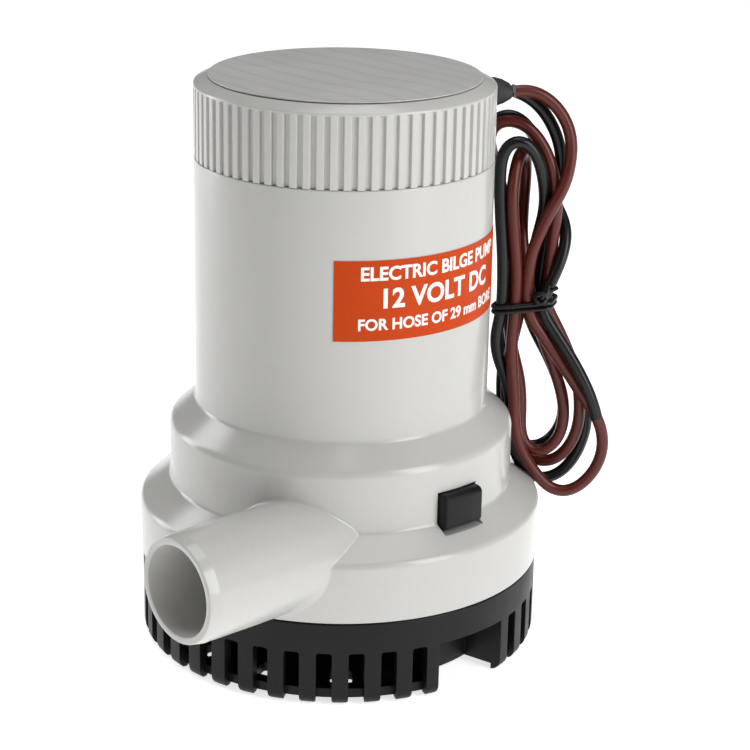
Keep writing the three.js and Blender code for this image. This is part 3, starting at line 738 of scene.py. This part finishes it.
def button(name, node, body, side):
    low, high, face = BUTTON_LOW, BUTTON_HIGH, BUTTON_FACE
    outline = filleted([(44.4, low), (face - 2.4, low), (face, low + 1.4, 0.6), (face, high, 1.7),
                        (44.4, high)])
    bar = prism(name, outline, -BUTTON_HALF, BUTTON_HALF)
    bar.data.transform(Matrix(((1, 0, 0, 0), (0, 0, -1, 0), (0, 1, 0, 0), (0, 0, 0, 1))))
    soften(bar, 0.6, 4, 50)
    half = math.degrees(math.asin(8.2 / 45))
    add(bar, sector("flange", 44.4, 45.5, low - 1.1, high + 1.1, 0, half))
    bar.data.transform(Matrix.Rotation(math.radians(side), 4, "Z"))
    return finished(bar, body, [node], 30)


# ---------------------------------------------------------------- gland boot, tie and the wire's cut end


def gland_boot():
    """A rubber boot that narrows from the cap to the pair of wires."""
    stations = [(-6.5, 2.9, 2.9), (-0.02, 2.9, 2.9), (0, 3.7, 4.0), (0.5, 3.95, 4.1), (1.6, 3.9, 4.1),
                (3.6, 3.3, 3.95), (4.8, 2.6, 3.75), (5.4, 2.3, 3.6), (5.65, 2.0, 3.3), (5.7, 1.9, 3.2)]
    sides = 48
    places, faces = [], []
    for reach, tall, wide in stations:
        for k in range(sides):
            turn = 2 * math.pi * k / sides
            up = GLAND_HEIGHT + tall * math.sin(turn)
            places.append((GLAND_START + reach, wide * math.cos(turn), up))
    for i in range(len(stations) - 1):
        for k in range(sides):
            m = (k + 1) % sides
            faces.append((i * sides + k, i * sides + m, (i + 1) * sides + m, (i + 1) * sides + k))
    faces += [tuple(range(sides)), tuple(range((len(stations) - 1) * sides, len(stations) * sides))]
    made = mesh_piece("gland_boot", places, faces)
    made.data.transform(Matrix.Rotation(math.radians(GLAND_ANGLE), 4, "Z"))
    return finished(made, "pump_body", ["cable_gland"])


def tie():
    """Two turns of thin tie wire round the hank, a knot at the front right, and its twisted ends."""
    across = (wire_place(1, 0, 0) / MM).normalized()
    up = Vector((0, 0, 1))
    front = across.cross(up)
    routes = [smooth_route([wire_place(*p) for p in route]) for route in (BROWN_ROUTE, BLACK_ROUTE)]
    crossings = []
    for route in routes:
        for a, b in zip(route, route[1:]):
            if (a.z - TIE_HEIGHT * MM) * (b.z - TIE_HEIGHT * MM) <= 0:
                crossings.append(a / MM)
    parts = []
    for turn_index, lift in enumerate((-0.75, 0.75)):
        loop = []
        for i in range(72):
            angle = 2 * math.pi * i / 72
            side = Vector((math.cos(angle), math.sin(angle)))
            far = max(crossings, key=lambda p: p.x * side.x + p.y * side.y)
            reach = WIRE / 2 + TIE_WIRE + 0.12 * turn_index
            place = Vector((far.x + reach * side.x, far.y + reach * side.y, TIE_HEIGHT + lift))
            place.z += TIE_SLOPE * (place.dot(across) - 50)
            loop.append(place)
        even = [sum((loop[(i + k) % 72] for k in (-2, -1, 0, 1, 2)), Vector()) / 5 for i in range(72)]
        parts.append(tube_mesh("turn", even, TIE_WIRE, 10, closed=True))
    knot = wire_place(55.2, 5.4, TIE_HEIGHT + 3.2) / MM
    for tilt, size in ((0.4, 1.5), (1.3, 1.35), (2.4, 1.25)):
        ring = []
        for i in range(28):
            turn = 2 * math.pi * i / 28
            flat = across * math.cos(turn) * size + up * math.sin(turn) * size
            lift = front * 0.55 * math.sin(2 * turn + tilt)
            ring.append(knot + Matrix.Rotation(tilt, 3, front) @ flat + lift)
        parts.append(tube_mesh("knot", ring, TIE_WIRE, 8, closed=True))
    for phase, length, bend in ((0, 6.2, 0.9), (math.pi, 5.0, -0.6)):
        end = []
        for i in range(26):
            share = i / 25
            twist = phase + share * 5.2
            middle = knot + (across * 0.75 + up * 0.8) * length * share * 0.75
            middle += across * bend * share * share
            side = front * math.cos(twist) + up * math.sin(twist)
            end.append(middle + side * TIE_WIRE * (1 - share * 0.2))
        parts.append(tube_mesh("end", end, TIE_WIRE * 0.92, 8))
    return finished(joined("hank_binding", parts), "pump_body", ["hank_tie"], 50)


def cut_end():
    """Bright strands of copper showing at the black wire's cut end."""
    tip, before = (wire_place(*BLACK_ROUTE[-1]) / MM, wire_place(*BLACK_ROUTE[-2]) / MM)
    along = (tip - before).normalized()
    side = along.orthogonal().normalized()
    parts = []
    for k in range(7):
        turn = Matrix.Rotation(2 * math.pi * k / 6, 3, along)
        middle = tip + (turn @ side * 0.46 if k < 6 else Vector())
        parts.append(tube_mesh("strand", [middle - along * 0.8, middle + along * 0.28], 0.21, 8))
    return finished(joined("copper_strands", parts), "pump_body", [], 60)


# ---------------------------------------------------------------- materials


class Nodes:
    """A short way to build a node material."""

    def __init__(self, name):
        self.material = bpy.data.materials.new(name)
        self.material.use_nodes = True
        self.tree = self.material.node_tree
        self.shader = self.tree.nodes["Principled BSDF"]
        self.place = self.make("ShaderNodeTexCoord").outputs["Object"]

    def make(self, kind, **settings):
        node = self.tree.nodes.new(kind)
        for key, value in settings.items():
            setattr(node, key, value)
        return node

    def link(self, start, end):
        self.tree.links.new(start, end)

    def noise(self, scale, detail=3, rough=0.55):
        node = self.make("ShaderNodeTexNoise")
        node.inputs["Scale"].default_value = scale
        node.inputs["Detail"].default_value = detail
        node.inputs["Roughness"].default_value = rough
        self.link(self.place, node.inputs["Vector"])
        return node.outputs["Fac"]

    def spread(self, value, low, high, start=0.3, end=0.7):
        node = self.make("ShaderNodeMapRange")
        for name, number in (("From Min", start), ("From Max", end), ("To Min", low), ("To Max", high)):
            node.inputs[name].default_value = number
        self.link(value, node.inputs["Value"])
        return node.outputs["Result"]

    def mix(self, factor, first, second):
        node = self.make("ShaderNodeMix", data_type="RGBA")
        self.link(factor, node.inputs["Factor"])
        for socket, colour in ((6, first), (7, second)):
            if isinstance(colour, tuple):
                node.inputs[socket].default_value = (*colour, 1)
            else:
                self.link(colour, node.inputs[socket])
        return node.outputs[2]

    def bump(self, value, height, under=None):
        node = self.make("ShaderNodeBump")
        node.inputs["Strength"].default_value = 1
        node.inputs["Distance"].default_value = height * MM
        self.link(value, node.inputs["Height"])
        if under is not None:
            self.link(under, node.inputs["Normal"])
        return node.outputs["Normal"]


def scaled(colour, factor):
    return tuple(min(1, channel * factor) for channel in colour)


def surface(name, colour, rough, metal=0, variation=0.06, grain=900, height=0.01, patch=35, edge=0,
            specular=0.5):
    """A material with slow colour drift, fine grain, uneven gloss and, with edge, softly rounded edges."""
    made = Nodes(name)
    drift = made.noise(patch, 4)
    darker, lighter = scaled(colour, 1 - variation), scaled(colour, 1 + variation)
    colours = made.mix(made.spread(drift, 0, 1), darker, lighter)
    fine = made.noise(grain, 4, 0.6)
    tinted = made.mix(made.spread(fine, 0, 0.5), colours, scaled(colour, 1 - 1.5 * variation))
    made.link(tinted, made.shader.inputs["Base Color"])
    gloss = made.spread(made.noise(patch * 3, 5), rough * 0.85, rough * 1.15)
    made.link(gloss, made.shader.inputs["Roughness"])
    under = None
    if edge:
        rounder = made.make("ShaderNodeBevel", samples=4)
        rounder.inputs["Radius"].default_value = edge * MM
        under = rounder.outputs["Normal"]
    made.link(made.bump(fine, height, under), made.shader.inputs["Normal"])
    made.shader.inputs["Metallic"].default_value = metal
    made.shader.inputs["Specular IOR Level"].default_value = specular
    return made


def disc_material():
    """Pale grey film with faint wavy lines."""
    made = surface("disc_film", (0.52, 0.515, 0.50), 0.42, grain=1400, height=0.004)
    wave = made.make("ShaderNodeTexWave", wave_type="BANDS", bands_direction="Y")
    wave.inputs["Scale"].default_value = 42
    wave.inputs["Distortion"].default_value = 5
    wave.inputs["Detail"].default_value = 1
    wave.inputs["Detail Scale"].default_value = 0.7
    made.link(made.place, wave.inputs["Vector"])
    base = made.shader.inputs["Base Color"].links[0].from_socket
    lines = made.spread(wave.outputs["Fac"], 0, 0.22, 0.86, 0.95)
    made.link(made.mix(lines, base, (0.30, 0.30, 0.31)), made.shader.inputs["Base Color"])
    return made


def material_table():
    return {
        "white_plastic": surface("white_plastic", (0.525, 0.52, 0.50), 0.2, variation=0.025, grain=700,
                                 height=0.004, patch=18, edge=0.3),
        "black_plastic": surface("black_plastic", (0.006, 0.006, 0.007), 0.42, variation=0.15, grain=900,
                                 height=0.015, edge=0.3, specular=0.22),
        "rubber": surface("rubber", (0.016, 0.016, 0.017), 0.6, variation=0.2, grain=1200, height=0.02),
        "steel": surface("steel", (0.6, 0.6, 0.61), 0.26, 1, grain=1500, height=0.006),
        "zinc_steel": surface("zinc_steel", (0.5, 0.51, 0.53), 0.4, 1, grain=700, height=0.01),
        "bronze": surface("bronze", (0.55, 0.4, 0.2), 0.42, 1, grain=1600, height=0.012),
        "copper": surface("copper", (0.72, 0.33, 0.17), 0.3, 1, grain=1300, height=0.008),
        "ferrite": surface("ferrite", (0.045, 0.045, 0.05), 0.6, variation=0.2, height=0.02),
        "carbon": surface("carbon", (0.03, 0.03, 0.032), 0.55, variation=0.2, height=0.015),
        "nylon": surface("nylon", (0.72, 0.7, 0.62), 0.4, height=0.01),
        "phenolic": surface("phenolic", (0.17, 0.08, 0.035), 0.5, variation=0.15, height=0.012),
        "ceramic": surface("ceramic", (0.5, 0.2, 0.05), 0.3, height=0.01),
        "disc_film": disc_material(),
        "label_film": surface("label_film", (0.52, 0.052, 0.003), 0.5, variation=0.05, grain=1500,
                              height=0.004, specular=0.12),
        "brown_pvc": surface("brown_pvc", (0.10, 0.011, 0.006), 0.33, variation=0.14, grain=800,
                             height=0.02, patch=60, specular=0.4),
        "black_pvc": surface("black_pvc", (0.005, 0.005, 0.0055), 0.3, variation=0.2, grain=800,
                             height=0.02, patch=60, specular=0.35),
        "print": surface("print", (0.86, 0.85, 0.83), 0.45, variation=0.04, grain=2000, height=0.003),
    }


def paint(made, table, name):
    made.data.materials.clear()
    made.data.materials.append(table[name].material)


# ---------------------------------------------------------------- light and floor


def area_light(name, place, aim, size, power):
    data = bpy.data.lights.new(name, "AREA")
    data.shape = "RECTANGLE"
    data.size, data.size_y = size
    data.energy = power
    light = bpy.data.objects.new(name, data)
    light.location = place
    light.rotation_mode = "QUATERNION"
    light.rotation_quaternion = (Vector(aim) - Vector(place)).to_track_quat("-Z", "Y")
    bpy.context.collection.objects.link(light)


def studio():
    world = bpy.data.worlds.new("studio")
    world.use_nodes = True
    world.node_tree.nodes["Background"].inputs["Color"].default_value = (1, 1, 1, 1)
    world.node_tree.nodes["Background"].inputs["Strength"].default_value = 0.14
    bpy.context.scene.world = world
    aim = (0, 0, 0.08)
    area_light("key", (0.95, 0.22, 0.5), aim, (0.45, 0.9), 7.2)
    area_light("left", (-0.9, -0.38, 0.4), aim, (0.3, 0.9), 4.6)
    area_light("top", (0.0, 0.1, 1.2), aim, (0.8, 0.8), 5.2)
    floor = block("floor", (8000, 8000, 4), (0, 0, -2.05))
    made = surface("floor", (0.9, 0.9, 0.9), 0.8, variation=0.004, grain=60, height=0.002)
    made.shader.inputs["Emission Color"].default_value = (1, 1, 1, 1)
    made.shader.inputs["Emission Strength"].default_value = 0.72
    floor.data.materials.append(made.material)
    bpy.context.scene.view_settings.view_transform = "Standard"
    bpy.context.scene.view_settings.look = "None"


# ---------------------------------------------------------------- the whole pump

materials = material_table()

shown = {
    "white_plastic": [housing(), cap()],
    "disc_film": [disc()],
    "black_plastic": [strainer(), button("button_right_cap", "release_button_right", "button_right", 0),
                      button("button_left_cap", "release_button_left", "button_left", 180)],
    "rubber": [gland_boot()],
    "brown_pvc": [brown_wire],
    "black_pvc": [black_wire, tie()],
    "copper": [cut_end()],
}
film, printing = label()
shown["label_film"] = [film]
shown["print"] = [printing]
for name, made_pieces in shown.items():
    for made_piece in made_pieces:
        paint(made_piece, materials, name)

for subpart in frame["record"]["subparts"]:
    node = frame["nodes"][subpart["node"]]
    paint(node, materials, subpart["material_slot"])

studio()

bpy.context.view_layer.update()
